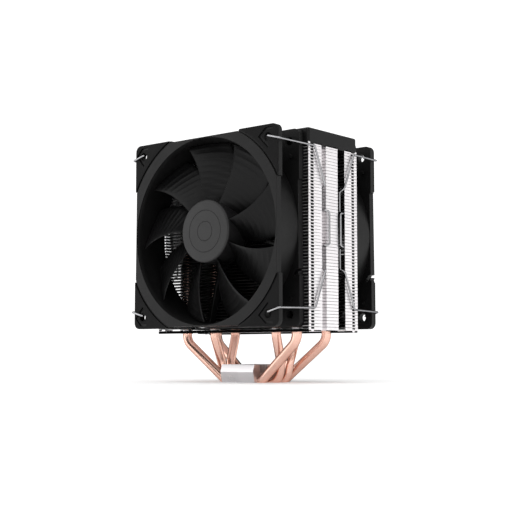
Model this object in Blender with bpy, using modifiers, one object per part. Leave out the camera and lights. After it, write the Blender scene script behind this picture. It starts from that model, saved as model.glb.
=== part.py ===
"""CPU tower cooler with two 120 mm fans, in metres, +Z up.

The origin is the middle of the cold plate's underside. X runs across the fans. Air flows along +Y:
in through the front fan at -Y, between the fins, and out through the rear fan at +Y.
Each fan is built round its own axis, local Z, from the intake face at 0 to the exhaust face at FAN_DEPTH.
"""

import math

import bmesh
import bpy
from mathutils import Matrix, Vector

MM = 0.001
GAP = 0.3 * MM  # between pieces that rest on each other

# Tower
TOWER_X, TOWER_Y = 127 * MM, 50.4 * MM
HEIGHT = 155 * MM
FIN_BOTTOM, FIN_TOP = 32.4 * MM, 144.8 * MM
FIN_THICK = 0.4 * MM
FIN_COUNT = 20  # every third plate of the 58 at 1.97 mm pitch
FIN_PITCH = (FIN_TOP - FIN_THICK - FIN_BOTTOM) / (FIN_COUNT - 1)
FIN_HOLE_R = 3.65 * MM  # to the corners of a six-sided hole round a pipe
GROOVE = (7.1 * MM, 12.5 * MM, 3.4 * MM)  # clip groove: near y, far y, depth
CHANNEL = (4.6 * MM, 12.0 * MM, 6.5 * MM)  # open clip channel: near y, far y, depth
WALL_THICK = 0.5 * MM
WALLS = ((-6.8 * MM, 4.4 * MM), (12.2 * MM, 19.5 * MM))
COVER_BOTTOM = FIN_TOP + GAP
COVER_WALL = 1.6 * MM

# Base and heat pipes
BASE_X, BASE_Y, BASE_Z = 27.5 * MM, 33.8 * MM, 11.35 * MM
RIDGE_Z, RIDGE_OUT = 6.9 * MM, 1.3 * MM
SLOT_FLOOR, SLOT_WIDTH = 5.9 * MM, 0.75 * MM
SLOT_FIRST, SLOT_LAST, SLOTS_A_SIDE = 5.1 * MM, 11.1 * MM, 5
PIPE_R = 3.0 * MM
PIPE_Z = 0.8 * MM  # centre line in the base, where the pipe is milled flush with the underside
PIPE_TOP = 149.5 * MM
PIPE_SIDES = 8
OUTER_LEG, OUTER_BASE_Y = (46.3 * MM, 15.0 * MM), 11.3 * MM
INNER_LEG, INNER_BASE_Y = (26.0 * MM, 10.2 * MM), 3.8 * MM
OUTER_KNEES = (  # from the fins down to the base, each with its bend radius
    ((*OUTER_LEG, 26.4 * MM), 9 * MM),
    ((15.0 * MM, OUTER_BASE_Y, PIPE_Z), 5 * MM),
)
INNER_KNEES = (
    ((*INNER_LEG, 29.5 * MM), 8 * MM),
    ((25.0 * MM, 4.4 * MM, 13.0 * MM), 12 * MM),
    ((22.8 * MM, INNER_BASE_Y, PIPE_Z), 7 * MM),
)

# Fans
FAN_SIDE, FAN_DEPTH = 120 * MM, 25 * MM
FAN_Z = 94 * MM
FAN_FACE = TOWER_Y / 2 + GAP  # distance of each fan's inner face from the middle
FLANGE = 4.45 * MM
CORNER_R = 4 * MM
HOLE_AT, HOLE_R = 52.5 * MM, 2.6 * MM
DUCT_OUTER, DUCT_R, INLET_R, INLET_DEPTH = 59.5 * MM, 57.5 * MM, 58.5 * MM, 3 * MM
DUCT_SEGMENTS, HUB_SEGMENTS, PIN_SEGMENTS = 36, 20, 12
STRUT_INNER, STRUT_OUTER = Vector((-3.0, 19.0)) * MM, Vector((-13.3, 57.0)) * MM
STRUT_WIDTH, STRUT_FRONT, STRUT_BACK = 3.4 * MM, 20.4 * MM, 24.8 * MM
TIP_R, HUB_R = 56.3 * MM, 19.8 * MM
BLADES, BLADE_THICK = 9, 1.6 * MM
BLADE_FRONT, BLADE_BACK = 3.4 * MM, 18.0 * MM
BLADE_ROOT_ANGLE, BLADE_TIP_ANGLE, BLADE_SWEEP = math.radians(36), math.radians(27), math.radians(14)

# Spring clips
WIRE_R = 0.7 * MM
WIRE_SIDES = 6
CLIP_AXIS_OUT = 0.7 * MM  # the swing axis lies this far off the fan's face
CLIP_TOP, CLIP_BOTTOM = 147.1 * MM, 42.5 * MM

# Finishes: colour, roughness, metallic
ALUMINIUM = ((0.76, 0.73, 0.74), 0.35, 1.0)
COPPER = ((0.80, 0.45, 0.33), 0.3, 1.0)
STEEL = ((0.62, 0.62, 0.63), 0.3, 1.0)
BLACK_PLASTIC = ((0.035, 0.034, 0.035), 0.55, 0.0)
BLADE_PLASTIC = ((0.02, 0.02, 0.022), 0.45, 0.0)
FERRITE = ((0.05, 0.045, 0.045), 0.7, 0.0)
BRONZE = ((0.5, 0.33, 0.16), 0.4, 1.0)
ENAMELLED_COPPER = ((0.55, 0.2, 0.06), 0.35, 1.0)
BOARD_GREEN = ((0.02, 0.12, 0.05), 0.5, 0.0)
LABEL = ((0.6, 0.6, 0.62), 0.5, 0.0)


def collection(name):
    made = bpy.data.collections.new(name)
    bpy.context.scene.collection.children.link(made)
    return made


def material(name, colour, roughness, metallic):
    made = bpy.data.materials.new(name)
    made.use_nodes = True
    shader = made.node_tree.nodes["Principled BSDF"]
    shader.inputs["Base Color"].default_value = (*colour, 1)
    shader.inputs["Roughness"].default_value = roughness
    shader.inputs["Metallic"].default_value = metallic
    return made


def part(name, mesh, finish, parent=None):
    """A sub-part, in the object's collection, with its own material."""
    made = bpy.data.objects.new(name, mesh)
    made.data.materials.append(material(name, *finish))
    made.parent = parent
    COOLER.objects.link(made)
    return made


def tool(name, mesh, parent=None):
    """A cutter, or a shape to be joined on, that isn't a piece itself."""
    made = bpy.data.objects.new(name, mesh)
    made.hide_render = True
    made.display_type = "WIRE"
    made.parent = parent
    CUTTERS.objects.link(made)
    return made


def empty(name, location, rotation=(0, 0, 0)):
    made = bpy.data.objects.new(name, None)
    made.location = location
    made.rotation_euler = rotation
    COOLER.objects.link(made)
    return made


def boolean(target, operand, operation="DIFFERENCE"):
    step = target.modifiers.new(operand.name, "BOOLEAN")
    step.operation = operation
    step.object = operand


def mesh_of(shape, name):
    mesh = bpy.data.meshes.new(name)
    shape.to_mesh(mesh)
    shape.free()
    return mesh


def boxes(name, spans):
    """One mesh of boxes, each given by its low and high corner."""
    shape = bmesh.new()
    for low, high in spans:
        low, high = Vector(low), Vector(high)
        place = Matrix.Translation((low + high) / 2) @ Matrix.Diagonal((high - low).to_4d())
        bmesh.ops.create_cube(shape, size=1, matrix=place)
    return mesh_of(shape, name)


def rounded_slab(name, low, high, radius, picks, segments=3):
    """A box whose edges chosen by picks(edge) are rounded."""
    shape = bmesh.new()
    low, high = Vector(low), Vector(high)
    place = Matrix.Translation((low + high) / 2) @ Matrix.Diagonal((high - low).to_4d())
    bmesh.ops.create_cube(shape, size=1, matrix=place)
    edges = [edge for edge in shape.edges if picks(edge)]
    bmesh.ops.bevel(shape, geom=edges, offset=radius, segments=segments, profile=0.5, affect="EDGES")
    return mesh_of(shape, name)


def cylinders(name, radius, length, places, sides):
    """One mesh of cylinders, each centred at one of the given matrices and running along its Z."""
    shape = bmesh.new()
    for place in places:
        bmesh.ops.create_cone(
            shape, cap_ends=True, segments=sides, radius1=radius, radius2=radius, depth=length, matrix=place
        )
    return mesh_of(shape, name)


def turned(made, steps):
    """Turns made's outline about its local Z."""
    screw = made.modifiers.new("turned", "SCREW")
    screw.steps = screw.render_steps = steps
    screw.use_merge_vertices = True
    screw.merge_threshold = 1e-6
    return made


def outline(name, points, closed=True):
    """A turned shape's outline of (radius, height) in mm, which runs down its outer side."""
    shape = bmesh.new()
    corners = [shape.verts.new((radius * MM, 0, height * MM)) for radius, height in points]
    for first, second in zip(corners, corners[1:]):
        shape.edges.new((first, second))
    if closed:
        shape.edges.new((corners[-1], corners[0]))
    return mesh_of(shape, name)


def ring_outline(name, inner, outer, low, high):
    return outline(name, [(inner, high), (outer, high), (outer, low), (inner, low)])


def rounded_path(corners, radii, steps):
    """The corners joined by straight runs, with each inner corner replaced by an arc of its radius."""
    path = [corners[0]]
    for before, corner, after, radius in zip(corners, corners[1:], corners[2:], radii):
        back, on = (before - corner).normalized(), (after - corner).normalized()
        half = back.angle(on) / 2
        tangent = radius / math.tan(half)
        centre = corner + (back + on).normalized() * radius / math.sin(half)
        start = (corner + back * tangent - centre).normalized()
        end = (corner + on * tangent - centre).normalized()
        path += [centre + start.slerp(end, step / steps) * radius for step in range(steps + 1)]
    path.append(corners[-1])
    return path


def tube(name, points, radius, sides, finish, location=(0, 0, 0)):
    """A closed tube mesh along the points, from a curve whose caps are welded on."""
    curve = bpy.data.curves.new(name, "CURVE")
    curve.dimensions = "3D"
    curve.bevel_depth = radius
    curve.bevel_resolution = (sides - 4) // 2
    curve.use_fill_caps = True
    spline = curve.splines.new("POLY")
    spline.points.add(len(points) - 1)
    for knot, point in zip(spline.points, points):
        knot.co = (*(point - Vector(location)), 1)
    made = part(name, meshed(curve), finish)
    made.location = location
    return made


def meshed(curve):
    """A curve's mesh, with its loose caps or faces welded."""
    guide = bpy.data.objects.new(curve.name, curve)
    CUTTERS.objects.link(guide)
    bpy.context.view_layer.update()
    mesh = bpy.data.meshes.new_from_object(guide.evaluated_get(bpy.context.evaluated_depsgraph_get()))
    bpy.data.objects.remove(guide)
    shape = bmesh.new()
    shape.from_mesh(mesh)
    bmesh.ops.remove_doubles(shape, verts=shape.verts, dist=1e-6)
    shape.to_mesh(mesh)
    shape.free()
    mesh.materials.clear()
    return mesh


def flat_plate(name, outlines, thickness):
    """A flat plate in XY, centred on z = 0, whose first outline is its edge and the others its holes."""
    curve = bpy.data.curves.new(name, "CURVE")
    curve.dimensions = "2D"
    curve.fill_mode = "BOTH"
    curve.extrude = thickness / 2
    for corners in outlines:
        spline = curve.splines.new("POLY")
        spline.points.add(len(corners) - 1)
        for knot, corner in zip(spline.points, corners):
            knot.co = (*corner, 0, 1)
        spline.use_cyclic_u = True
    return meshed(curve)


# ---- Tower ----


def fin_edge():
    """A fin's edge: the groove is ahead of the middle on the right, and the channel behind it."""
    x, y = TOWER_X / 2 - 0.1 * MM, TOWER_Y / 2
    right = [
        (x, -y),
        (x, -GROOVE[1]),
        (x - GROOVE[2], -GROOVE[1]),
        (x - GROOVE[2], -GROOVE[0]),
        (x, -GROOVE[0]),
        (x, CHANNEL[0]),
        (x - CHANNEL[2], CHANNEL[0]),
        (x - CHANNEL[2], CHANNEL[1]),
        (x, CHANNEL[1]),
        (x, y),
    ]
    return right + [(-a, -b) for a, b in right]


def pipe_hole(x, y):
    """A six-sided hole with a corner at the front and at the back."""
    corner = Vector((0, FIN_HOLE_R))
    around = [Matrix.Rotation(-count * math.tau / 6, 2) @ corner for count in range(6)]
    return [(x + point.x, y + point.y) for point in around]


def fin_stack():
    holes = [
        pipe_hole(side * leg[0], end * leg[1])
        for leg in (OUTER_LEG, INNER_LEG)
        for side in (-1, 1)
        for end in (-1, 1)
    ]
    fins = part("fin_stack", flat_plate("fin_stack", [fin_edge()] + holes, FIN_THICK), ALUMINIUM)
    fins.location.z = FIN_BOTTOM + FIN_THICK / 2
    stack = fins.modifiers.new("stack", "ARRAY")
    stack.use_relative_offset = False
    stack.use_constant_offset = True
    stack.constant_offset_displace = (0, 0, FIN_PITCH)
    stack.count = FIN_COUNT
    outer = TOWER_X / 2
    spans = []
    for low, high in WALLS:
        for turn in (1, -1):
            ys = sorted((turn * low, turn * high))
            xs = sorted((turn * (outer - WALL_THICK), turn * outer))
            spans.append(((xs[0], ys[0], FIN_BOTTOM - 0.1 * MM), (xs[1], ys[1], FIN_TOP + 0.1 * MM)))
    boolean(fins, tool("fin_walls", boxes("fin_walls", spans)), "UNION")


def top_cover():
    x, y = TOWER_X / 2, TOWER_Y / 2
    cover = part(
        "top_cover",
        rounded_slab(
            "top_cover",
            (-x, -y, COVER_BOTTOM),
            (x, y, HEIGHT),
            1.5 * MM,
            lambda edge: sum(corner.co.z for corner in edge.verts) > 2 * HEIGHT - MM,
            segments=2,
        ),
        BLACK_PLASTIC,
    )
    inner_x, inner_y = x - COVER_WALL, y - COVER_WALL
    inside = ((-inner_x, -inner_y, FIN_TOP - MM), (inner_x, inner_y, HEIGHT - COVER_WALL))
    boolean(cover, tool("cover_inside", boxes("cover_inside", [inside])))


def base_block():
    y, ridge = BASE_Y / 2, BASE_Y / 2 + RIDGE_OUT
    section = [(-y, 0), (-ridge, RIDGE_Z), (-y, BASE_Z), (y, BASE_Z), (ridge, RIDGE_Z), (y, 0)]
    base = part("base_block", flat_plate("base_block", [section], BASE_X), ALUMINIUM)
    base.rotation_euler = (math.pi / 2, 0, math.pi / 2)
    spans = []
    for side in (-1, 1):
        for count in range(SLOTS_A_SIDE):
            y = side * (SLOT_FIRST + (SLOT_LAST - SLOT_FIRST) * count / (SLOTS_A_SIDE - 1))
            low = (-BASE_X, y - SLOT_WIDTH / 2, SLOT_FLOOR)
            spans.append((low, (BASE_X, y + SLOT_WIDTH / 2, 2 * BASE_Z)))
    boolean(base, tool("base_slots", boxes("base_slots", spans)))
    along_x = Matrix.Rotation(math.pi / 2, 4, "Y")
    places = [
        Matrix.Translation((0, side * base_y, PIPE_Z)) @ along_x
        for base_y in (OUTER_BASE_Y, INNER_BASE_Y)
        for side in (-1, 1)
    ]
    grooves = cylinders("pipe_grooves", PIPE_R + 0.25 * MM, 2 * BASE_X, places, 2 * PIPE_SIDES)
    boolean(base, tool("pipe_grooves", grooves))


def heat_pipe(name, knees, end, underside):
    """A U of copper pipe: down through the fins, under the base and up again on the other side."""
    points = [Vector((x, end * y, z)) for (x, y, z), _ in knees]
    right = [Vector((points[0].x, points[0].y, PIPE_TOP))] + points
    left = [Vector((-point.x, point.y, point.z)) for point in reversed(right)]
    bends = [bend for _, bend in knees]
    path = rounded_path(right + left, bends + bends[::-1], 3)
    boolean(tube(name, path, PIPE_R, PIPE_SIDES, COPPER), underside)


def heat_pipes():
    under = boxes("underside", [((-TOWER_X, -TOWER_X, -10 * MM), (TOWER_X, TOWER_X, 0))])
    underside = tool("underside", under)
    heat_pipe("heat_pipe_1", OUTER_KNEES, -1, underside)
    heat_pipe("heat_pipe_2", INNER_KNEES, -1, underside)
    heat_pipe("heat_pipe_3", INNER_KNEES, 1, underside)
    heat_pipe("heat_pipe_4", OUTER_KNEES, 1, underside)


# ---- Fans ----


def fan_frame(name, axle):
    half = FAN_SIDE / 2
    frame = part(
        name,
        rounded_slab(
            name,
            (-half, -half, 0),
            (half, half, FAN_DEPTH),
            CORNER_R,
            lambda edge: abs(edge.verts[0].co.z - edge.verts[1].co.z) > MM,
        ),
        BLACK_PLASTIC,
        axle,
    )
    relief = ring_outline(name, DUCT_OUTER / MM, FAN_SIDE / MM, FLANGE / MM, (FAN_DEPTH - FLANGE) / MM)
    boolean(frame, turned(tool(name + "_relief", relief, axle), DUCT_SEGMENTS))
    past = FAN_DEPTH / MM + 1
    duct, inlet, depth = DUCT_R / MM, INLET_R / MM, INLET_DEPTH / MM
    slope = (inlet - duct) / depth
    bore = outline(name, [(0, past), (duct, past), (duct, depth), (inlet + slope, -1), (0, -1)], closed=False)
    boolean(frame, turned(tool(name + "_bore", bore, axle), DUCT_SEGMENTS))
    both = (-HOLE_AT, HOLE_AT)
    places = [Matrix.Translation((x, y, FAN_DEPTH / 2)) for x in both for y in both]
    holes = cylinders(name, HOLE_R, 2 * FAN_DEPTH, places, 8)
    boolean(frame, tool(name + "_holes", holes, axle))
    boolean(frame, tool(name + "_lead_exit", lead_exit(name), axle))
    boolean(frame, turned(tool(name + "_mount", mount_outline(name), axle), HUB_SEGMENTS), "UNION")
    boolean(frame, tool(name + "_struts", struts(name), axle), "UNION")


def lead_exit(name):
    """A slanted slot in the exhaust flange, where the fan's lead leaves the frame."""
    start, end = Vector((FAN_SIDE / 2 + MM, 24.8 * MM)), Vector((55.5 * MM, 29.5 * MM))
    return bar(name, [(start, end)], 2.0 * MM, FAN_DEPTH - FLANGE - MM, FAN_DEPTH + MM)


def bar(name, runs, width, front, back):
    """One mesh of straight bars in the fan's plane, from front to back along its axis."""
    shape = bmesh.new()
    for start, end in runs:
        along = end - start
        middle = (start + end) / 2
        turn = Matrix.Rotation(math.atan2(along.y, along.x), 4, "Z")
        size = Matrix.Diagonal((along.length, width, back - front, 1))
        place = Matrix.Translation((middle.x, middle.y, (front + back) / 2)) @ turn @ size
        bmesh.ops.create_cube(shape, size=1, matrix=place)
    return mesh_of(shape, name)


def struts(name):
    runs = []
    for quarter in range(4):
        turn = Matrix.Rotation(quarter * math.pi / 2, 2)
        runs.append((turn @ STRUT_INNER, turn @ STRUT_OUTER))
    return bar(name, runs, STRUT_WIDTH, STRUT_FRONT, STRUT_BACK)


def mount_outline(name):
    """The motor mount: a shallow cup with a recess for the label and the bearing tube in its middle."""
    return outline(
        name,
        [
            (0, 24.3),
            (18.3, 24.3),
            (18.3, 25.0),
            (20.2, 25.0),
            (20.2, 19.6),
            (18.6, 19.6),
            (18.6, 22.6),
            (5.0, 22.6),
            (5.0, 8.5),
            (4.0, 8.5),
            (4.0, 22.2),
            (0, 22.2),
        ],
        closed=False,
    )


def hub_outline(name):
    """The hub: a cup open to the back, with a boss that holds the shaft."""
    hub = HUB_R / MM
    return outline(
        name,
        [
            (0, 4.2),
            (1.6, 4.2),
            (1.6, 7.5),
            (3.2, 7.5),
            (3.2, 3.6),
            (18.4, 3.6),
            (18.4, 19.0),
            (hub, 19.0),
            (hub, 2.6),
            (hub - 0.6, 2.0),
            (0, 2.0),
        ],
        closed=False,
    )


def blade_point(along, across):
    """A blade's middle surface: along runs from 0 at the hub to 1 at the tip, across from -1 to 1."""
    radius = HUB_R - 0.8 * MM + along * (TIP_R - HUB_R + 0.8 * MM)
    width = BLADE_ROOT_ANGLE + (BLADE_TIP_ANGLE - BLADE_ROOT_ANGLE) * along
    angle = width * across / 2 - BLADE_SWEEP * along**1.6
    middle = (BLADE_FRONT + BLADE_BACK) / 2
    reach = (BLADE_BACK - BLADE_FRONT) / 2 * (1 - 0.22 * along)
    camber = 1.2 * MM * (1 - across**2)
    return Vector((radius * math.cos(angle), radius * math.sin(angle), middle + reach * across + camber))


def blades(name):
    shape = bmesh.new()
    bmesh.ops.create_grid(shape, x_segments=3, y_segments=3, size=1)
    for corner in shape.verts:
        corner.co = blade_point((corner.co.x + 1) / 2, corner.co.y)
    first = list(shape.verts) + list(shape.edges) + list(shape.faces)
    for count in range(1, BLADES):
        copy = bmesh.ops.duplicate(shape, geom=first)["geom"]
        moved = [item for item in copy if isinstance(item, bmesh.types.BMVert)]
        bmesh.ops.rotate(shape, verts=moved, matrix=Matrix.Rotation(count * math.tau / BLADES, 3, "Z"))
    return mesh_of(shape, name)


def impeller(name, axle):
    made = turned(part(name, hub_outline(name), BLADE_PLASTIC, axle), HUB_SEGMENTS)
    sheet = tool(name + "_blades", blades(name), axle)
    thick = sheet.modifiers.new("thickness", "SOLIDIFY")
    thick.thickness = BLADE_THICK
    thick.offset = 0
    boolean(made, sheet, "UNION")


def stator_core(name, axle):
    """Four poles round a ring, with the winding windows cut out between them."""
    core = turned(part(name, ring_outline(name, 6.0, 14.6, 10, 16), STEEL, axle), HUB_SEGMENTS)
    boolean(core, tool(name + "_windows", winding_windows(name), axle))
    ring = tool(name + "_ring", ring_outline(name, 5.3, 7.2, 9.8, 16.2), axle)
    boolean(core, turned(ring, HUB_SEGMENTS), "UNION")


def winding_windows(name):
    """Four square windows, which leave the pole arms between them and open at a corner to the magnet."""
    low, high = 3.0 * MM, 10.7 * MM
    spans = []
    for x, y in ((1, 1), (-1, 1), (-1, -1), (1, -1)):
        xs, ys = sorted((x * low, x * high)), sorted((y * low, y * high))
        spans.append(((xs[0], ys[0], 9 * MM), (xs[1], ys[1], 17 * MM)))
    return boxes(name, spans)


def stator_coil(name, axle, quarter):
    """A winding round one pole arm."""
    winding = ((7.6 * MM, -3.4 * MM, 8 * MM), (9.9 * MM, 3.4 * MM, 18 * MM))
    coil = part(name, boxes(name, [winding]), ENAMELLED_COPPER, axle)
    coil.rotation_euler.z = quarter * math.pi / 2
    arm = ((0, -3.0 * MM, 9.7 * MM), (20 * MM, 3.0 * MM, 16.3 * MM))
    hole = tool(name + "_arm", boxes(name, [arm]), axle)
    hole.rotation_euler.z = coil.rotation_euler.z
    boolean(coil, hole)


def fan(side, intake_y):
    """A fan's fixed pieces hang on its frame's empty, and its turning pieces on the rotor's empty."""
    quarter_back = (-math.pi / 2, 0, 0)  # turns local Z to +Y
    fixed = empty(side + "_fan_axis", (0, intake_y, FAN_Z), quarter_back)
    rotor = empty(side + "_rotor_axis", (0, intake_y, FAN_Z), quarter_back)

    def ring(name, sizes, finish, parent, steps=HUB_SEGMENTS):
        full = side + "_" + name
        turned(part(full, ring_outline(full, *sizes), finish, parent), steps)

    fan_frame(side + "_fan_frame", fixed)
    ring("bearing_sleeve", (1.58, 3.75, 9.0, 20.0), BRONZE, fixed)
    stator_core(side + "_stator_core", fixed)
    for quarter in range(4):
        stator_coil(f"{side}_stator_coil_{quarter + 1}", fixed, quarter)
    ring("circuit_board", (5.3, 16.8, 19.5, 20.7), BOARD_GREEN, fixed)
    label = outline(side, [(0, 24.85), (18.0, 24.85), (18.0, 24.6), (0, 24.6)], closed=False)
    turned(part(side + "_motor_label", label, LABEL, fixed), HUB_SEGMENTS)

    impeller(side + "_impeller", rotor)
    cup = [(17.3, 18.5), (18.1, 18.5), (18.1, 3.9), (3.5, 3.9), (3.5, 4.7), (17.3, 4.7)]
    turned(part(side + "_rotor_yoke", outline(side, cup), STEEL, rotor), HUB_SEGMENTS)
    ring("magnet_ring", (15.3, 17.0, 7.5, 18.0), FERRITE, rotor)
    pin = [
        (0, 21.9), (1.3, 21.9), (1.5, 21.6), (1.5, 21.05), (1.1, 21.05),
        (1.1, 20.25), (1.5, 20.25), (1.5, 4.5), (0, 4.5),
    ]
    turned(part(side + "_shaft", outline(side, pin, closed=False), STEEL, rotor), PIN_SEGMENTS)
    ring("shaft_lock_ring", (1.25, 3.2, 20.4, 20.9), STEEL, rotor, PIN_SEGMENTS)


# ---- Spring clips ----


def clip_path():
    """Half of a clip on the right of the front fan, from its hook in the fan's hole down to the grip."""
    axis_y = -FAN_FACE - FAN_DEPTH - CLIP_AXIS_OUT
    return [
        Vector((HOLE_AT, axis_y + 2.2 * MM, CLIP_TOP)),
        Vector((HOLE_AT, axis_y, CLIP_TOP)),
        Vector((61.5 * MM, axis_y, 144.6 * MM)),
        Vector((64.6 * MM, -20.4 * MM, 144.0 * MM)),
        Vector((64.6 * MM, -10.2 * MM, 121.2 * MM)),
        Vector((61.2 * MM, -9.6 * MM, 119.2 * MM)),
        Vector((61.2 * MM, -9.6 * MM, 106.0 * MM)),
        Vector((64.6 * MM, -9.0 * MM, 105.4 * MM)),
        Vector((64.6 * MM, -5.9 * MM, 104.9 * MM)),
    ]


def wire_clip(name, right, front):
    """right is 1 on the right and -1 on the left; front is 1 on the front fan and -1 on the rear one."""
    upper = clip_path()
    lower = [Vector((point.x, point.y, CLIP_TOP + CLIP_BOTTOM - point.z)) for point in reversed(upper)]
    corners = [Vector((right * point.x, front * point.y, point.z)) for point in upper + lower]
    out = FAN_FACE + FAN_DEPTH + CLIP_AXIS_OUT
    axis = Vector((right * HOLE_AT, -front * out, (CLIP_TOP + CLIP_BOTTOM) / 2))
    path = rounded_path(corners, [1.1 * MM] * (len(corners) - 2), 1)
    tube(name, path, WIRE_R, WIRE_SIDES, STEEL, axis)


for old in list(bpy.data.objects):
    bpy.data.objects.remove(old, do_unlink=True)
COOLER = collection("cpu_tower_cooler")
CUTTERS = collection("cutters")
base_block()
heat_pipes()
fin_stack()
top_cover()
fan("front", -FAN_FACE - FAN_DEPTH)
fan("rear", FAN_FACE)
wire_clip("front_right_clip", 1, 1)
wire_clip("front_left_clip", -1, 1)
wire_clip("rear_right_clip", 1, -1)
wire_clip("rear_left_clip", -1, -1)
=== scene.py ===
"""The looks of a CPU tower cooler with two 120 mm fans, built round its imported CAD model.

Shapes are made in millimetres and scaled to metres when they become objects. A fan's pieces are made
round its axis, local Z, from the intake face at 0 to the exhaust face, with local Y pointing down.
"""

import math

import bmesh
import bpy
from mathutils import Matrix, Vector

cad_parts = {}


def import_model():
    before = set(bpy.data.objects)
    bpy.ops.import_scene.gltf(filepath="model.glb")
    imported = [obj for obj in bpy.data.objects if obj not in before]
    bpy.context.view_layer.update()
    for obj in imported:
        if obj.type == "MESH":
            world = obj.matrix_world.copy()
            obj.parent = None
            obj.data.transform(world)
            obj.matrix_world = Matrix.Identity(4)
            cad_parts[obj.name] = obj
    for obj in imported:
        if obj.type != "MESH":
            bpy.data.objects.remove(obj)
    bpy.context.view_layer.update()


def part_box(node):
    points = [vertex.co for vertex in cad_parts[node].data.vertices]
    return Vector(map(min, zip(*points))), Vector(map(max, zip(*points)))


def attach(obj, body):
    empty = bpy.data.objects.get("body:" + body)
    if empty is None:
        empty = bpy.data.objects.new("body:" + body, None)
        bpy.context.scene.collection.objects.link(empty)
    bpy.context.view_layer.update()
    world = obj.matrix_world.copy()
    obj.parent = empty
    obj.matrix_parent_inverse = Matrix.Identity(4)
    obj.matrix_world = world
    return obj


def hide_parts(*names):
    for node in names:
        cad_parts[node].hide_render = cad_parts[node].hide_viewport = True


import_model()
scene = bpy.context.scene

MM = 0.001
STILL = Matrix.Identity(4)
ROUND = 96  # sides of a large turned shape

# Tower
FIN_COUNT, FIN_THICK = 58, 0.4
FIN_MARGIN = 0.1  # the stack's box reaches this far past its lowest and highest sheet
PIPE_R, COLLAR_R = 3.0, 3.5
GROOVE = (-12.5, -7.1, 3.4)  # clip groove on the right: near y, far y, depth
CHANNEL = (4.6, 12.0, 6.5)  # open clip channel on the right: near y, far y, depth
HOLE_COLUMNS = ((-23.2, -20.0), (19.3, 22.2))
TAB_THICK, TAB_GAP = 0.5, 0.2
LIP = (-0.1, 0.5)  # a fin's edge at the hole columns, from its underside
OUTER_LEG, OUTER_BASE_Y = (46.3, 15.0), 11.3
INNER_LEG, INNER_BASE_Y = (26.0, 10.2), 3.8
PIPE_Z, PIPE_TOP = 0.8, 149.5
SLOT_FLOOR, SLOT_WIDTH, SLOTS = 5.9, 0.75, (5.1, 6.6, 8.1, 9.6, 11.1)
RIDGE_Z, RIDGE_OUT = 6.9, 1.3  # the blunt ridge along the base's front and back

# Fans
HALF, FAN_DEPTH = 60.0, 25.0
FLANGE, RELIEF = 4.45, 1.0  # flange thickness, and how far its pads and ring stand up from it
SIDE_IN, SIDE_SPAN = 1.0, 28.5  # the flange's sides step in by this much, this far from the middle
SIDE_END = SIDE_SPAN + 0.3  # where the step out to the corners ends
CORNER_R, HOLE_AT, HOLE_R = 4.0, 52.5, 2.6
DUCT_R, INLET_R, DUCT_OUTER = 57.5, 58.5, 59.0
RING_R, PAD_R = 65.5, 66.9
CHEVRON_REACH = 58.2  # the furthest left that the middle of a pad's groove goes
HUB_R, TIP_R, BLADES = 19.8, 56.3, 9
BLADE_FRONT, BLADE_BACK, BLADE_THICK = 3.4, 18.0, 1.6
BLADE_ROOT, BLADE_TIP, BLADE_SWEEP = math.radians(36), math.radians(27), math.radians(14)
RIDGE_PITCH = 3.9
LEAD_EXIT = ((59.5, 24.9), (57.6, 25.1), (55.2, 28.2), (56.6, 29.6), (58.4, 27.0), (59.5, 26.7))
COIL_NEAR, COIL_FAR, COIL_TURNS = 7.6, 9.9, 6

# Clips
WIRE_R = 0.62
CLIP_TOP, CLIP_BOTTOM = 147.1, 42.5


# ---- Shapes ----


def box_mm(node):
    low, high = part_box(node)
    return low / MM, high / MM


def rounded(points, radius, steps=4, closed=True, keep=()):
    """A run of points with an arc at each corner. Corners numbered in keep stay, as do an open run's ends."""
    points = [Vector(point) for point in points]
    made = []
    for at, corner in enumerate(points):
        if at in keep or (not closed and at in (0, len(points) - 1)):
            made.append(corner)
            continue
        before = points[at - 1] - corner
        after = points[(at + 1) % len(points)] - corner
        half = before.angle(after) / 2
        size = radius[at] if isinstance(radius, (list, tuple)) else radius
        run = min(size / math.tan(half), 0.48 * min(before.length, after.length))
        start = corner + before.normalized() * run
        end = corner + after.normalized() * run
        for step in range(steps + 1):
            t = step / steps
            pull = 2 * math.sin(half) * t * (1 - t)
            made.append((start * (1 - t) ** 2 + corner * pull + end * t**2) / ((1 - t) ** 2 + pull + t**2))
    return made


def arc(radius, start, end, steps, centre=(0, 0)):
    """Points on an arc between two angles in degrees."""
    angles = [math.radians(start + (end - start) * step / steps) for step in range(steps + 1)]
    return [(centre[0] + radius * math.cos(a), centre[1] + radius * math.sin(a)) for a in angles]


def circle(radius, steps, centre=(0, 0)):
    return arc(radius, 0, 360, steps, centre)[:-1]


def four_times(points):
    """A quarter of an outline repeated at each quarter turn."""
    turns = [Matrix.Rotation(quarter * math.pi / 2, 2) for quarter in range(4)]
    return [turn @ Vector(point) for turn in turns for point in points]


def loft(shape, loops, closed=False):
    """Joins equal loops of points, with a face over the first and the last unless the loft closes."""
    rings = [[shape.verts.new(point) for point in loop] for loop in loops]
    pairs = list(zip(rings, rings[1:]))
    if closed:
        pairs.append((rings[-1], rings[0]))
    for ring, following in pairs:
        for at in range(len(ring)):
            after = (at + 1) % len(ring)
            shape.faces.new((ring[at], ring[after], following[after], following[at]))
    if not closed:
        shape.faces.new(reversed(rings[0]))
        shape.faces.new(rings[-1])
    return [vert for ring in rings for vert in ring]


def turned(shape, outline, steps=ROUND, centre=(0, 0)):
    """A closed outline of (radius, height) turned about an upright axis."""
    loops = []
    for radius, height in outline:
        loops.append([(x, y, height) for x, y in circle(radius, steps, centre)])
    bmesh.ops.remove_doubles(shape, verts=loft(shape, loops, closed=True), dist=1e-4)


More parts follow.
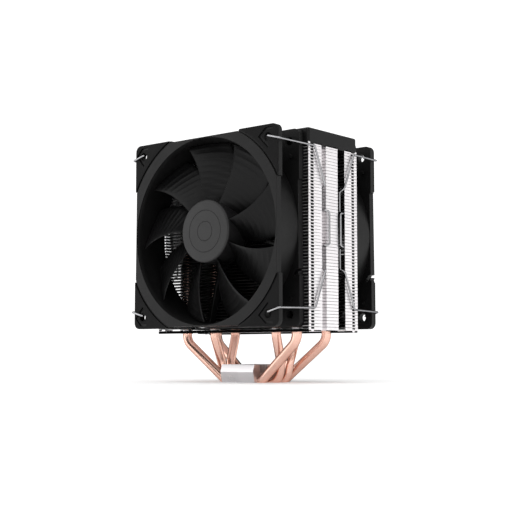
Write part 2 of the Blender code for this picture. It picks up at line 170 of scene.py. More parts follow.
def swept(shape, path, radius, sides, floor=None):
    """A round tube along a path. radius is one size or a list, and nothing goes below floor."""
    across = (path[1] - path[0]).orthogonal().normalized()
    loops = []
    for at, point in enumerate(path):
        along = (path[min(at + 1, len(path) - 1)] - path[max(at - 1, 0)]).normalized()
        across = (across - along * across.dot(along)).normalized()
        up = along.cross(across)
        size = radius[at] if isinstance(radius, list) else radius
        loop = [point + (across * a + up * b) * size for a, b in circle(1, sides)]
        if floor is not None:
            loop = [Vector((p.x, p.y, max(p.z, floor))) for p in loop]
        loops.append(loop)
    loft(shape, loops)


def hoop(shape, path, radius, sides):
    """A round tube along a closed path in a plane of constant x."""
    loops = []
    for at, point in enumerate(path):
        along = (path[(at + 1) % len(path)] - path[at - 1]).normalized()
        out = along.cross(Vector((1, 0, 0)))
        loops.append([point + (Vector((1, 0, 0)) * a + out * b) * radius for a, b in circle(1, sides)])
    loft(shape, loops, closed=True)


def block(shape, low, high, ease=0.0, segments=2):
    """A box with all its edges eased."""
    low, high = Vector(low), Vector(high)
    place = Matrix.Translation((low + high) / 2) @ Matrix.Diagonal((high - low).to_4d())
    verts = bmesh.ops.create_cube(shape, size=1, matrix=place)["verts"]
    if ease:
        edges = list({edge for vert in verts for edge in vert.link_edges})
        bmesh.ops.bevel(shape, geom=edges, offset=ease, segments=segments, profile=0.5, affect="EDGES")


def plate(shape, outlines, low, high, rim=0.2, place=STILL):
    """A flat plate between two heights with eased rims. The first outline is its edge, the others holes."""
    curve = bpy.data.curves.new("outline", "CURVE")
    curve.dimensions = "2D"
    curve.fill_mode = "BOTH"
    curve.extrude = (high - low) / 2 - rim
    curve.bevel_depth = rim
    curve.bevel_resolution = 1
    curve.offset = -rim
    for corners in outlines:
        spline = curve.splines.new("POLY")
        spline.points.add(len(corners) - 1)
        for knot, corner in zip(spline.points, corners):
            knot.co = (corner[0], corner[1], 0, 1)
        spline.use_cyclic_u = True
    guide = bpy.data.objects.new("outline", curve)
    scene.collection.objects.link(guide)
    bpy.context.view_layer.update()
    mesh = bpy.data.meshes.new_from_object(guide.evaluated_get(bpy.context.evaluated_depsgraph_get()))
    bpy.data.objects.remove(guide)
    mesh.transform(place @ Matrix.Translation((0, 0, (low + high) / 2)))
    add_mesh(shape, mesh)


def add_mesh(shape, mesh):
    """Adds a mesh to a shape, with its doubled points welded."""
    own = bmesh.new()
    own.from_mesh(mesh)
    bmesh.ops.remove_doubles(own, verts=own.verts, dist=1e-4)
    own.to_mesh(mesh)
    own.free()
    shape.from_mesh(mesh)
    bpy.data.meshes.remove(mesh)


def as_mesh(shape, name):
    bmesh.ops.recalc_face_normals(shape, faces=shape.faces)
    mesh = bpy.data.meshes.new(name)
    shape.to_mesh(mesh)
    shape.free()
    return mesh


def piece(name, shape, body, nodes, finish, place=STILL, crease=35):
    """An object from a shape in mm, riding on a body and standing for CAD nodes."""
    mesh = as_mesh(shape, name)
    mesh.transform(Matrix.Scale(MM, 4))
    mesh.materials.append(finish)
    mesh.shade_smooth()
    mesh.set_sharp_from_angle(angle=math.radians(crease))
    made = bpy.data.objects.new(name, mesh)
    scene.collection.objects.link(made)
    made.matrix_world = place
    shading = made.modifiers.new("even_shading", "WEIGHTED_NORMAL")
    shading.keep_sharp = True
    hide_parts(*nodes)
    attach(made, body)
    return made


# ---- Materials ----


def finish(name, dark, light, roughness, metallic=0.0, cloud=12.0, grain=0.3, bump=0.1,
           stretch=(1, 1, 1), gloss=0.5, edge=(1, 1, 1)):
    """A Principled material. Colour and roughness drift between two values over patches of the size
    cloud, and a finer grain raises the surface; sizes are in mm, and stretch draws the grain out.
    edge tints what is reflected at a grazing angle."""
    made = bpy.data.materials.new(name)
    made.use_nodes = True
    nodes, links = made.node_tree.nodes, made.node_tree.links
    shader = nodes["Principled BSDF"]
    shader.inputs["Metallic"].default_value = metallic
    shader.inputs["Specular IOR Level"].default_value = gloss
    shader.inputs["Specular Tint"].default_value = (*edge, 1)
    place = nodes.new("ShaderNodeTexCoord")

    patches = nodes.new("ShaderNodeTexNoise")
    patches.inputs["Scale"].default_value = 1 / (cloud * MM)
    patches.inputs["Detail"].default_value = 4
    links.new(place.outputs["Object"], patches.inputs["Vector"])

    tint = nodes.new("ShaderNodeValToRGB")
    tint.color_ramp.elements[0].position, tint.color_ramp.elements[1].position = 0.32, 0.68
    tint.color_ramp.elements[0].color = (*dark, 1)
    tint.color_ramp.elements[1].color = (*light, 1)
    links.new(patches.outputs["Fac"], tint.inputs["Fac"])
    links.new(tint.outputs["Color"], shader.inputs["Base Color"])

    spread = nodes.new("ShaderNodeMapRange")
    spread.inputs["From Min"].default_value, spread.inputs["From Max"].default_value = 0.3, 0.7
    spread.inputs["To Min"].default_value, spread.inputs["To Max"].default_value = roughness
    links.new(patches.outputs["Fac"], spread.inputs["Value"])
    links.new(spread.outputs["Result"], shader.inputs["Roughness"])

    drawn = nodes.new("ShaderNodeMapping")
    drawn.inputs["Scale"].default_value = stretch
    links.new(place.outputs["Object"], drawn.inputs["Vector"])
    fine = nodes.new("ShaderNodeTexNoise")
    fine.inputs["Scale"].default_value = 1 / (grain * MM)
    fine.inputs["Detail"].default_value = 3
    links.new(drawn.outputs["Vector"], fine.inputs["Vector"])
    raised = nodes.new("ShaderNodeBump")
    raised.inputs["Strength"].default_value = bump
    raised.inputs["Distance"].default_value = 0.05 * MM
    links.new(fine.outputs["Fac"], raised.inputs["Height"])
    links.new(raised.outputs["Normal"], shader.inputs["Normal"])
    return made


WALL_METAL = finish("wall_aluminium", (0.88, 0.85, 0.865), (0.94, 0.915, 0.925), (0.32, 0.44), 1.0,
                    cloud=18, grain=0.5, bump=0.12, stretch=(1, 0.06, 1))
# painted shade: the sheets are the walls' aluminium darkened to about a tenth, standing for the shade between
# the sheets
FIN_METAL_PAINTED_SHADE = finish("fin_aluminium_painted_shade", (0.08, 0.077, 0.078), (0.12, 0.116, 0.118), (0.45, 0.58), 1.0,
                   cloud=14, grain=0.6, bump=0.12, stretch=(1, 0.08, 1))
# painted shade: a near-black finish for a strip the cooler doesn't have, standing for the shade under the
# lowest sheet
RIM_PAINTED_SHADE = finish("painted_shade_rim_finish", (0.003, 0.003, 0.003), (0.005, 0.005, 0.005), (0.7, 0.8),
                     cloud=14, grain=0.6, bump=0.15, gloss=0.0)
BASE_METAL = finish("base_aluminium", (0.60, 0.58, 0.59), (0.65, 0.63, 0.64), (0.26, 0.32), 1.0,
                    cloud=14, grain=0.4, bump=0.05, stretch=(0.05, 1, 1))
COPPER = finish("pipe_copper", (0.84, 0.51, 0.41), (0.89, 0.57, 0.465), (0.20, 0.25), 0.92,
                cloud=7, grain=0.6, bump=0.02, stretch=(1, 1, 0.15), edge=(0.22, 0.10, 0.06))
STEEL = finish("clip_steel", (0.32, 0.32, 0.33), (0.40, 0.40, 0.41), (0.12, 0.18), 1.0,
               cloud=6, grain=0.2, bump=0.06, edge=(0.12, 0.12, 0.13))
FRAME_PLASTIC = finish("frame_plastic", (0.0022, 0.0021, 0.0022), (0.0036, 0.0035, 0.0036), (0.44, 0.54),
                       cloud=15, grain=0.22, bump=0.25, gloss=0.22)
PAD_RUBBER = finish("pad_rubber", (0.0020, 0.0019, 0.0020), (0.0034, 0.0033, 0.0034), (0.56, 0.68),
                    cloud=8, grain=0.3, bump=0.3, gloss=0.13)
HUB_PLASTIC = finish("hub_plastic", (0.008, 0.0078, 0.0081), (0.011, 0.0107, 0.011), (0.42, 0.5),
                     cloud=10, grain=0.25, bump=0.15, gloss=0.34)
BLADE_PLASTIC = finish("blade_plastic", (0.0022, 0.0022, 0.0023), (0.0036, 0.0035, 0.0037), (0.34, 0.42),
                       cloud=20, grain=0.3, bump=0.08, gloss=0.18)
COVER_PLASTIC = finish("cover_plastic", (0.0024, 0.0024, 0.0025), (0.004, 0.0039, 0.004), (0.42, 0.52),
                       cloud=16, grain=0.25, bump=0.22, gloss=0.2)
YOKE_STEEL = finish("yoke_steel", (0.45, 0.45, 0.47), (0.58, 0.58, 0.60), (0.3, 0.42), 1.0, cloud=5)
SHAFT_STEEL = finish("shaft_steel", (0.62, 0.62, 0.64), (0.75, 0.75, 0.77), (0.12, 0.2), 1.0, cloud=2)
FERRITE = finish("magnet_ferrite", (0.035, 0.032, 0.033), (0.06, 0.055, 0.055), (0.6, 0.75),
                 cloud=3, bump=0.4)
BRONZE = finish("sleeve_bronze", (0.42, 0.27, 0.12), (0.58, 0.39, 0.2), (0.35, 0.5), 1.0, cloud=2, bump=0.3)
LAMINATIONS = finish("core_laminations", (0.30, 0.30, 0.32), (0.46, 0.46, 0.48), (0.35, 0.5), 1.0,
                     cloud=3, grain=0.5, bump=0.5, stretch=(0.05, 0.05, 1))
WINDING = finish("enamelled_wire", (0.42, 0.13, 0.03), (0.66, 0.26, 0.08), (0.22, 0.34), 0.6, cloud=2)
BOARD = finish("board_green", (0.008, 0.06, 0.022), (0.015, 0.11, 0.045), (0.3, 0.42), cloud=4)
LABEL = finish("label_film", (0.50, 0.50, 0.52), (0.57, 0.57, 0.59), (0.34, 0.44), cloud=8, bump=0.05)


# ---- Tower ----

fin_low, fin_high = box_mm("fin_stack")
cover_low, cover_high = box_mm("top_cover")
base_low, base_high = box_mm("base_block")
FIN_X, FIN_Y = fin_high.x, fin_high.y
LOWEST = fin_low.z + FIN_MARGIN
FIN_PITCH = (fin_high.z - FIN_MARGIN - FIN_THICK - LOWEST) / (FIN_COUNT - 1)


def both_sides(right):
    """The right side's outline and, half a turn on, the left side's."""
    return right + [(-x, -y) for x, y in right]


def fin_outline():
    x, y = FIN_X - 0.15, FIN_Y
    near, far, depth = GROOVE
    return both_sides([
        (x, -y), (x, near), (x - depth, near), (x - depth, far), (x, far), (x, CHANNEL[0]),
        (x - CHANNEL[2], CHANNEL[0]), (x - CHANNEL[2], CHANNEL[1]), (x, CHANNEL[1]), (x, y),
    ])


def sheet():
    """A fin with its underside at 0 and a collar round each pipe."""
    shape = bmesh.new()
    legs = [(side * x, end * y) for x, y in (OUTER_LEG, INNER_LEG) for side in (-1, 1) for end in (-1, 1)]
    plate(shape, [fin_outline()] + [circle(COLLAR_R - 0.2, 18, leg) for leg in legs], 0, FIN_THICK, rim=0.08)
    inner, top = PIPE_R + 0.03, FIN_PITCH - 0.2
    for leg in legs:
        turned(shape, [(COLLAR_R, 0.1), (COLLAR_R, top - 0.15), (inner, top), (inner, 0.1)], 18, leg)
    return as_mesh(shape, "sheet")


def folds():
    """The tabs folded up from a fin's two ends, which leave a column of small windows near each corner."""
    shape = bmesh.new()
    top = FIN_PITCH - TAB_GAP
    (front, first), (last, back) = HOLE_COLUMNS
    near, far, depth = GROOVE
    spans = [(-FIN_Y, front, 0, 0, top), (first, near, 0, 0, top), (near, far, depth, 0, top)]
    spans += [(far, CHANNEL[0], 0, 0, top), (CHANNEL[1], last, 0, 0, top), (back, FIN_Y, 0, 0, top)]
    spans += [(front, first, 0, *LIP), (last, back, 0, *LIP)]
    for turn in (1, -1):
        for low, high, inset, bottom, end in spans:
            outer = FIN_X - inset
            fold(shape, turn, (outer - TAB_THICK, low, bottom), (outer, high, end), 0.09)
        for low in (near, far - TAB_THICK):
            fold(shape, turn, (FIN_X - depth, low, 0.05), (FIN_X - 0.1, low + TAB_THICK, top - 0.05))
        for y in (-FIN_Y, FIN_Y - 0.3):
            fold(shape, turn, (FIN_X - 5.5, y, 0.05), (FIN_X - 0.4, y + 0.3, 0.75), 0.06)
    return as_mesh(shape, "folds")


def fold(shape, turn, low, high, ease=0.0):
    """A tab on the right, or half a turn on for turn = -1."""
    ends = sorted((turn * low[0], turn * high[0])), sorted((turn * low[1], turn * high[1]))
    block(shape, (ends[0][0], ends[1][0], low[2]), (ends[0][1], ends[1][1], high[2]), ease, segments=1)


def fin_stack():
    """The sheets, the walls of their folded tabs, and under the lowest one its tongues and a near-black strip
    that paints the shade beneath it.
    The lowest sheet is as bright as the walls; the sheets above it are darkened aluminium that paints the
    shade between them."""
    sheets, walls = bmesh.new(), bmesh.new()
    for fin, stack in ((sheet(), sheets), (folds(), walls)):
        for count in range(FIN_COUNT):
            fin.transform(Matrix.Translation((0, 0, FIN_PITCH if count else LOWEST)))
            (walls if count == 0 else stack).from_mesh(fin)
    # painted shade: a near-black strip under the front and sides of the lowest sheet, where there is only
    # shade
    rim = bmesh.new()
    low, high = fin_low.z - 0.55, fin_low.z + 0.05
    front_low, front_high = fin_low.z - 1.0, fin_low.z + 0.75
    for turn in (1, -1):
        for first, last in HOLE_COLUMNS:
            bottom = (FIN_X - TAB_THICK, first + 0.3, fin_low.z - 0.9)
            fold(walls, turn, bottom, (FIN_X, last - 0.3, fin_low.z + 0.3), 0.24)
        fold(rim, turn, (0.3 - FIN_X, -FIN_Y - 0.06, front_low), (FIN_X - 0.3, 0.4 - FIN_Y, front_high), 0.1)
        for first, last in ((0.4 - FIN_Y, GROOVE[0]), (GROOVE[1], CHANNEL[0]), (CHANNEL[1], FIN_Y - 0.4)):
            fold(rim, turn, (FIN_X - 1.1, first, low), (FIN_X - 0.7, last, high), 0.1)
    # painted shade: the sheets get the darkened aluminium and the walls the bright one, though both are the
    # same metal
    piece("fins", sheets, "cooler", ["fin_stack"], FIN_METAL_PAINTED_SHADE)
    piece("fin_walls", walls, "cooler", [], WALL_METAL)
    piece("painted_shade_rim", rim, "cooler", [], RIM_PAINTED_SHADE)


def top_cover():
    shape = bmesh.new()
    middle, size = (cover_low + cover_high) / 2, cover_high - cover_low
    bmesh.ops.create_cube(shape, size=1, matrix=Matrix.Translation(middle) @ Matrix.Diagonal(size.to_4d()))
    upright = [edge for edge in shape.edges if abs(edge.verts[0].co.z - edge.verts[1].co.z) > 1]
    bmesh.ops.bevel(shape, geom=upright, offset=1.6, segments=5, profile=0.5, affect="EDGES")
    for level, ease in ((cover_high.z, 1.1), (cover_low.z, 0.25)):
        rim = [edge for edge in shape.edges if all(abs(vert.co.z - level) < 0.01 for vert in edge.verts)]
        bmesh.ops.bevel(shape, geom=rim, offset=ease, segments=4, profile=0.5, affect="EDGES")
    piece("cover", shape, "cooler", ["top_cover"], COVER_PLASTIC)


def base_block():
    """The section across the pipes, drawn out along X: pipe grooves below and cooling slots above."""
    y, ridge, top = base_high.y - RIDGE_OUT, base_high.y, base_high.z
    groove_r = PIPE_R + 0.06
    dip = math.degrees(math.asin(PIPE_Z / groove_r))
    section = [(-y, 0)]
    for middle in (-OUTER_BASE_Y, -INNER_BASE_Y, INNER_BASE_Y, OUTER_BASE_Y):
        section += arc(groove_r, 180 + dip, -dip, 16, (middle, PIPE_Z))
    section += [(y, 0), (ridge, RIDGE_Z - 0.5), (ridge, RIDGE_Z + 0.3), (y, top)]
    for middle in sorted(SLOTS + tuple(-slot for slot in SLOTS), reverse=True):
        near, far = middle + SLOT_WIDTH / 2, middle - SLOT_WIDTH / 2
        section += [(near, top), (near, SLOT_FLOOR), (far, SLOT_FLOOR), (far, top)]
    section += [(-y, top), (-ridge, RIDGE_Z + 0.3), (-ridge, RIDGE_Z - 0.5)]
    shape = bmesh.new()
    along_x = Matrix(((0, 0, 1, 0), (1, 0, 0, 0), (0, 1, 0, 0), (0, 0, 0, 1)))
    plate(shape, [section], base_low.x, base_high.x, rim=0.15, place=along_x)
    piece("base", shape, "cooler", ["base_block"], BASE_METAL)


def heat_pipe(number, knees, end):
    points = [Vector((x, end * y, z)) for x, y, z, _ in knees]
    right = [Vector((points[0].x, points[0].y, PIPE_TOP))] + points
    left = [Vector((-point.x, point.y, point.z)) for point in reversed(right)]
    bends = [0] + [bend for *_, bend in knees]
    path = rounded(right + left, bends + bends[::-1], 12, closed=False)
    tip = [Vector((0, 0, down)) for down in (0, 0.25, 1.0, 2.4, 4.5)]
    path = [path[0] - down for down in tip] + path[1:-1] + [path[-1] - down for down in reversed(tip)]
    narrow = [PIPE_R * share for share in (0.25, 0.5, 0.72, 0.9, 1.0)]
    radii = narrow + [PIPE_R] * (len(path) - 2 * len(tip)) + narrow[::-1]
    shape = bmesh.new()
    swept(shape, path, radii, 28, floor=0.0)
    piece(f"pipe_{number}", shape, "cooler", [f"heat_pipe_{number}"], COPPER)


def heat_pipes():
    """Each U's corners from the fins down to the base: x, y, z and the bend's radius."""
    outer = [(*OUTER_LEG, 26.4, 9), (15.0, OUTER_BASE_Y, PIPE_Z, 5)]
    inner = [(*INNER_LEG, 29.5, 8), (25.0, 4.4, 13.0, 12), (22.8, INNER_BASE_Y, PIPE_Z, 7)]
    heat_pipe(1, outer, -1)
    heat_pipe(2, inner, -1)
    heat_pipe(3, inner, 1)
    heat_pipe(4, outer, 1)


# ---- Fans ----


def notched(outline):
    """The outline with the slot in its right side where the lead leaves."""
    return outline[:1] + [Vector(point) for point in LEAD_EXIT] + outline[1:]


def flange_outline():
    """The flange's edge: sides that step in between the corners, and round corners."""
    side, inset = HALF - SIDE_IN, HALF - CORNER_R
    quarter = [(side, -SIDE_SPAN), (side, SIDE_SPAN), (HALF, SIDE_END)]
    quarter += arc(CORNER_R, 0, 90, 8, (inset, inset)) + [(SIDE_END, HALF)]
    return four_times(quarter)


def ring_outline():
    """A circle cut off at the flange's sides."""
    side = HALF - SIDE_IN
    cut = math.degrees(math.acos(side / RING_R))
    return four_times([(side, -RING_R * math.sin(math.radians(cut)))] + arc(RING_R, cut, 90 - cut, 16))


def pad_outline():
    """A corner's pad: the flange's corner outside the ring, at (+, +)."""
    inset = HALF - CORNER_R
    cut = math.degrees(math.acos(HALF / PAD_R))
    near = max(SIDE_END, PAD_R * math.sin(math.radians(cut)))
    corner = arc(CORNER_R, 0, 90, 8, (inset, inset))
    return [(HALF, near)] + corner + [(near, HALF)] + arc(PAD_R, 90 - cut, cut, 14)[1:-1]


def groove_outline(line, width):
    """A bent line drawn out to a width."""
    line = [Vector(point) for point in line]
    left, right = [], []
    for at, point in enumerate(line):
        before = (point - line[at - 1]).normalized() if at else (line[1] - point).normalized()
        after = (line[at + 1] - point).normalized() if at < len(line) - 1 else before
        normal = Vector((-(before + after).y, (before + after).x)).normalized()
        reach = width / 2 / max(normal.dot(Vector((-before.y, before.x))), 0.5)
        left.append(point + normal * reach)
        right.append(point - normal * reach)
    return left + right[::-1]


def pads(shape, low, high, rim):
    """The four corner pads of one flange, with their screw holes and chevron grooves."""
    line = [(3.7, 5.1), (-1.7, 4.9), (-6.4, 0.7), (0.2, -6.1)]
    for quarter, (right, down) in enumerate(((1, 1), (-1, 1), (-1, -1), (1, -1))):
        turn = Matrix.Rotation(quarter * math.pi / 2, 2)
        edge = [turn @ Vector(point) for point in pad_outline()]
        hole = circle(HOLE_R, 28, (right * HOLE_AT, down * HOLE_AT))
        bend = [(max(right * HOLE_AT + x, -CHEVRON_REACH), down * (HOLE_AT + y)) for x, y in line]
        plate(shape, [edge, hole, groove_outline(bend, 1.6)], low, high, rim)


def hub_mount(shape):
    """The motor mount: a shallow cup with a recess for the label and the bearing tube in its middle."""
    cup = [
        (0, 24.3), (18.3, 24.3), (18.3, 25.0), (20.2, 25.0), (20.2, 19.6), (18.6, 19.6), (18.6, 22.6),
        (5.0, 22.6), (5.0, 8.5), (4.0, 8.5), (4.0, 22.2), (0, 22.2),
    ]
    turned(shape, rounded(cup, 0.25, 2, keep=(0, len(cup) - 1)))


def struts(shape):
    """Four struts from the motor mount to the duct, each with a rounded back and a narrower front."""
    inner, outer = Vector((-3.0, 19.0)), Vector((-13.3, 57.9))
    along = (outer - inner).normalized()
    aside = Vector((-along.y, along.x))
    section = rounded([(-0.9, 20.4), (0.9, 20.4), (1.7, 24.8), (-1.7, 24.8)], 0.5, 3)
    for quarter in range(4):
        turn = Matrix.Rotation(quarter * math.pi / 2, 2)
        loops = []
        for share in (0, 0.2, 0.4, 0.6, 0.8, 1):
            middle = inner.lerp(outer, share) + aside * 0.6 * math.sin(share * math.pi)
            flat = [turn @ (middle + aside * x) for x, _ in section]
            loops.append([(point.x, point.y, z) for point, (_, z) in zip(flat, section)])
        loft(shape, loops)


def fan_frame(side, place):
    shape = bmesh.new()
    holes = [circle(HOLE_R, 28, (x, y)) for x in (-HOLE_AT, HOLE_AT) for y in (-HOLE_AT, HOLE_AT)]
    bore = circle(DUCT_OUTER - 0.4, ROUND)
    back = FAN_DEPTH - RELIEF
    plate(shape, [flange_outline(), bore] + holes, RELIEF, FLANGE, 0.15)
    plate(shape, [notched(flange_outline()), bore] + holes, FAN_DEPTH - FLANGE, back, 0.15)
    plate(shape, [ring_outline(), circle(INLET_R, ROUND)], 0, RELIEF + 0.3, 0.15)
    plate(shape, [notched(ring_outline()), circle(DUCT_R + 0.3, ROUND)], back - 0.3, FAN_DEPTH, 0.15)
    duct = [
        (INLET_R + 0.4, 0.7), (INLET_R - 0.02, 0.75), (DUCT_R, 3.2), (DUCT_R, FAN_DEPTH - 0.9),
        (DUCT_R + 0.5, FAN_DEPTH - 0.5), (DUCT_OUTER, FAN_DEPTH - 0.6), (DUCT_OUTER, 0.7),
    ]
    turned(shape, duct, 128)
    hub_mount(shape)
    struts(shape)
    piece(f"{side}_frame", shape, "cooler", [f"{side}_fan_frame"], FRAME_PLASTIC, place)
    rubber = bmesh.new()
    pads(rubber, 0, RELIEF - 0.01, 0.15)
    pads(rubber, back + 0.01, FAN_DEPTH, 0.15)
    studs = ((FLANGE - 0.1, FLANGE + 0.9), (FAN_DEPTH - FLANGE - 0.9, FAN_DEPTH - FLANGE + 0.1))
    for x in (-53.5, 53.5):
        for y in (-43.0, 43.0):
            for low, high in studs:
                stud = rounded([(0, high), (1.3, high), (1.3, low), (0, low)], 0.3, 2, keep=(0, 3))
                turned(rubber, stud, 20, (x, y))
    piece(f"{side}_pads", rubber, "cooler", [], PAD_RUBBER, place)


def blade_point(along, across, raise_by):
    """A point on a blade: along is 0 at the hub and 1 at the tip, across is -1 in front and 1 behind."""
    root = HUB_R - 0.6
    radius = root + along * (TIP_R - root)
    width = BLADE_ROOT + (BLADE_TIP - BLADE_ROOT) * along
    angle = width * across / 2 - BLADE_SWEEP * along**1.6
    middle = (BLADE_FRONT + BLADE_BACK) / 2
    reach = (BLADE_BACK - BLADE_FRONT) / 2 * (1 - 0.22 * along)
    height = middle + reach * across + 1.2 * (1 - across**2) + raise_by
    return Vector((radius * math.cos(angle), radius * math.sin(angle), height))


def blade_loop(along, stations):
    """The section of a blade at one radius, with rounded edges and a low ridge every RIDGE_PITCH."""
    radius = HUB_R + along * (TIP_R - HUB_R)
    ridge = 0.26 * max(0.0, math.cos(radius * math.tau / RIDGE_PITCH)) ** 2
    front, back = [], []
    for step in range(stations + 1):
        across = -math.cos(math.pi * step / stations)
        half = BLADE_THICK * 0.5 * (1 - across**8) ** 0.5 + 0.02
        front.append(blade_point(along, across, -half - ridge * (1 - across**4)))
        back.append(blade_point(along, across, half))
    return front + back[::-1]


def impeller(side, place):
    shape = bmesh.new()
    cup = [
        (0, 4.2), (1.6, 4.2), (1.6, 7.5), (3.2, 7.5), (3.2, 3.6), (18.4, 3.6), (18.4, 19.0), (HUB_R, 19.0),
        (HUB_R, 2.0), (13.4, 2.0), (13.1, 2.3), (12.8, 2.0), (6.4, 2.0), (6.1, 2.3), (5.8, 2.0), (0, 2.0),
    ]
    eases = [0, 0.1, 0.1, 0.3, 0.3, 0.5, 0.2, 0.3, 1.3] + [0.1] * 6 + [0]
    turned(shape, rounded(cup, eases, 4, keep=(0, len(cup) - 1)))
    piece(f"{side}_fan_hub", shape, f"{side}_rotor", [f"{side}_impeller"], HUB_PLASTIC, place)
    shape = bmesh.new()
    spans = 56
    loops = [blade_loop(step / spans, 18) for step in range(spans + 1)]
    for count in range(BLADES):
        turn = Matrix.Rotation(count * math.tau / BLADES, 4, "Z")
        loft(shape, [[turn @ point for point in loop] for loop in loops])
    piece(f"{side}_fan_blades", shape, f"{side}_rotor", [], BLADE_PLASTIC, place, 40)


def inner_parts(side, place):
    """The motor's turned parts: each name, its outline, its ease, body, slot and material."""
    pin = [
        (0, 21.9), (1.3, 21.9), (1.5, 21.6), (1.5, 21.05), (1.1, 21.05), (1.1, 20.25), (1.5, 20.25),
        (1.5, 4.5), (0, 4.5),
    ]
    cup = [(17.3, 18.5), (18.1, 18.5), (18.1, 3.9), (3.5, 3.9), (3.5, 4.7), (17.3, 4.7)]
    magnet = [(15.3, 18.0), (17.0, 18.0), (17.0, 7.5), (15.3, 7.5)]
    ring = [(1.25, 20.9), (3.2, 20.9), (3.2, 20.4), (1.25, 20.4)]
    sleeve = [(1.58, 20.0), (3.75, 20.0), (3.75, 9.0), (1.58, 9.0)]
    board = [(5.3, 20.7), (16.8, 20.7), (16.8, 19.5), (5.3, 19.5)]
    label = [(0, 24.85), (18.0, 24.85), (18.0, 24.6), (0, 24.6)]
    rows = [
        ("rotor_yoke", cup, 0.3, "rotor", "yoke", YOKE_STEEL),
        ("magnet_ring", magnet, 0.2, "rotor", "magnet", FERRITE),
        ("shaft", pin, 0.05, "rotor", "shaft", SHAFT_STEEL),
        ("shaft_lock_ring", ring, 0.1, "rotor", "yoke", YOKE_STEEL),
        ("bearing_sleeve", sleeve, 0.2, "cooler", "bronze", BRONZE),
        ("circuit_board", board, 0.08, "cooler", "board", BOARD),
        ("motor_label", label, 0.05, "cooler", "label", LABEL),
    ]
    for name, outline, ease, body, slot, material in rows:
        shape = bmesh.new()
        on_axis = [at for at, point in enumerate(outline) if point[0] == 0]
        turned(shape, rounded(outline, ease, 2, keep=on_axis), 64)
        rides_on = f"{side}_rotor" if body == "rotor" else body
        piece(f"{side}_{name}_round", shape, rides_on, [f"{side}_{name}"], material, place)


def stator(side, place):
    """Four poles with shoes that follow the magnet, and a winding of separate turns on each arm."""
    shape = bmesh.new()
    turned(shape, rounded([(5.3, 16.2), (7.2, 16.2), (7.2, 9.8), (5.3, 9.8)], 0.1, 1), 64)
    for quarter in range(4):
        turn = Matrix.Rotation(quarter * math.pi / 2, 2)
        shoe = [(6.5, -2.9), (10.8, -2.9), (10.8, -3.0)] + arc(14.6, -38, 38, 12)
        shoe += [(10.8, 3.0), (10.8, 2.9), (6.5, 2.9)]
        plate(shape, [[turn @ Vector(point) for point in shoe]], 10, 16, 0.06)
    node = f"{side}_stator_core"
    piece(f"{side}_stator_core_round", shape, "cooler", [node], LAMINATIONS, place)
    loop = rounded([(-3.2, -4.8), (3.2, -4.8), (3.2, 4.8), (-3.2, 4.8)], 0.9)
    for quarter in range(4):
        coil = bmesh.new()
        turn = place @ Matrix.Rotation(quarter * math.pi / 2, 4, "Z")
        pitch = (COIL_FAR - COIL_NEAR) / COIL_TURNS
        for count in range(COIL_TURNS):
            middle = COIL_NEAR + pitch * (count + 0.5)
            wire = [Vector((middle, y, 13 + z)) for y, z in loop]
            hoop(coil, wire, pitch / 2 + 0.01, 8)
        node = f"{side}_stator_coil_{quarter + 1}"
        piece(f"{side}_winding_{quarter + 1}", coil, "cooler", [node], WINDING, turn)


def fan(side):
    low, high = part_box(f"{side}_fan_frame")
    place = Matrix.Translation((0, low.y, (low.z + high.z) / 2)) @ Matrix.Rotation(-math.pi / 2, 4, "X")
    fan_frame(side, place)
    impeller(side, place)
    inner_parts(side, place)
    stator(side, place)


# ---- Spring clips ----


def clip_path():
    """Half of the right clip of the front fan, from its hook in the fan's hole down to the grip."""
    return [
        (HOLE_AT, -49.0, CLIP_TOP), (HOLE_AT, -51.2, CLIP_TOP), (61.5, -51.2, 144.6), (64.6, -20.4, 144.0),
        (64.6, -10.2, 121.2), (61.2, -9.6, 119.2), (61.2, -9.6, 106.0), (64.6, -9.0, 105.4),
        (64.6, -5.9, 104.9),
    ]


def wire_clip(name, right, front):
    """right is 1 on the right and -1 on the left; front is 1 on the front fan and -1 on the rear one."""
    upper = [Vector(point) for point in clip_path()]
    lower = [Vector((point.x, point.y, CLIP_TOP + CLIP_BOTTOM - point.z)) for point in reversed(upper)]
    corners = [Vector((right * point.x, front * point.y, point.z)) for point in upper + lower]
    path = rounded(corners, 1.4, 6, closed=False)
    radii = [WIRE_R * 0.6] + [WIRE_R] * (len(path) - 2) + [WIRE_R * 0.6]
    shape = bmesh.new()
    swept(shape, path, radii, 14)
    piece(f"{name}_wire", shape, name, [name], STEEL)


# ---- Studio ----


def camera():
    lens = bpy.data.cameras.new("camera")
    lens.lens, lens.sensor_width = 76.72, 36
    lens.clip_start, lens.clip_end = 0.01, 200
    made = bpy.data.objects.new("camera", lens)
    made.location = (0.45869, -0.54230, 0.01835)
    made.rotation_euler = [math.radians(angle) for angle in (95.101, 0, 40.178)]
    scene.collection.objects.link(made)
    scene.camera = made


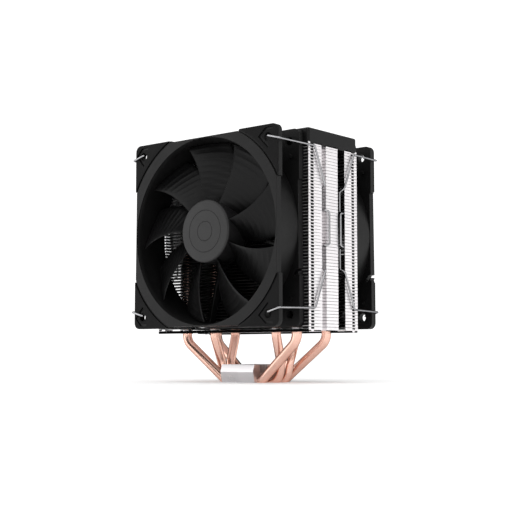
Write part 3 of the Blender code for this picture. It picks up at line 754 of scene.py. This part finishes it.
def world():
    """White where the camera sees it, and a dimmer room in reflections."""
    made = bpy.data.worlds.new("studio")
    made.use_nodes = True
    nodes, links = made.node_tree.nodes, made.node_tree.links
    room = nodes["Background"]
    room.inputs["Color"].default_value = (1, 1, 1, 1)
    room.inputs["Strength"].default_value = 0.05
    seen = nodes.new("ShaderNodeBackground")
    seen.inputs["Color"].default_value = (1, 1, 1, 1)
    seen.inputs["Strength"].default_value = 1.2
    path = nodes.new("ShaderNodeLightPath")
    mix = nodes.new("ShaderNodeMixShader")
    links.new(path.outputs["Is Camera Ray"], mix.inputs["Fac"])
    links.new(room.outputs["Background"], mix.inputs[1])
    links.new(seen.outputs["Background"], mix.inputs[2])
    links.new(mix.outputs["Shader"], nodes["World Output"].inputs["Surface"])
    scene.world = made


def lamp(name, kind, energy, place, target, **settings):
    """A light that the camera doesn't see, aimed at a point."""
    light = bpy.data.lights.new(name, kind)
    light.energy = energy
    for key, value in settings.items():
        setattr(light, key, value)
    made = bpy.data.objects.new(name, light)
    made.location = place
    made.rotation_euler = (Vector(target) - Vector(place)).to_track_quat("-Z", "Y").to_euler()
    made.visible_camera = False
    scene.collection.objects.link(made)


def softbox(name, energy, place, width, height):
    lamp(name, "AREA", energy, place, (0, 0, 0.09), shape="RECTANGLE", size=width, size_y=height)


def floor():
    shape = bmesh.new()
    bmesh.ops.create_grid(shape, x_segments=8, y_segments=8, size=40)
    mesh = as_mesh(shape, "floor")
    mesh.transform(Matrix.Translation((0, 0, -0.05 * MM)))
    card = finish("floor_card", (0.90, 0.90, 0.90), (0.92, 0.92, 0.92), (0.85, 0.9),
                  cloud=60, bump=0.02, gloss=0.2)
    shader = card.node_tree.nodes["Principled BSDF"]
    shader.inputs["Emission Color"].default_value = (1, 1, 1, 1)
    shader.inputs["Emission Strength"].default_value = 0.25
    mesh.materials.append(card)
    made = bpy.data.objects.new("floor", mesh)
    scene.collection.objects.link(made)


camera()
world()
floor()
scene.view_settings.view_transform = "Standard"
lamp("overhead", "SUN", 3.0, (0.1, -0.2, 1.0), (0, 0, 0.08), angle=math.radians(110))
softbox("front_softbox", 3.6, (-0.88, -0.78, 0.30), 0.9, 0.6)
softbox("right_softbox", 4.8, (0.77, 0.92, 0.20), 1.3, 1.3)
softbox("fill_softbox", 4.2, (0.95, -0.74, 0.14), 2.4, 0.45)
softbox("low_softbox", 0.55, (-0.10, -1.2, 0.05), 0.9, 0.14)

fin_stack()
top_cover()
base_block()
heat_pipes()
fan("front")
fan("rear")
wire_clip("front_right_clip", 1, 1)
wire_clip("front_left_clip", -1, 1)
wire_clip("rear_right_clip", 1, -1)
wire_clip("rear_left_clip", -1, -1)
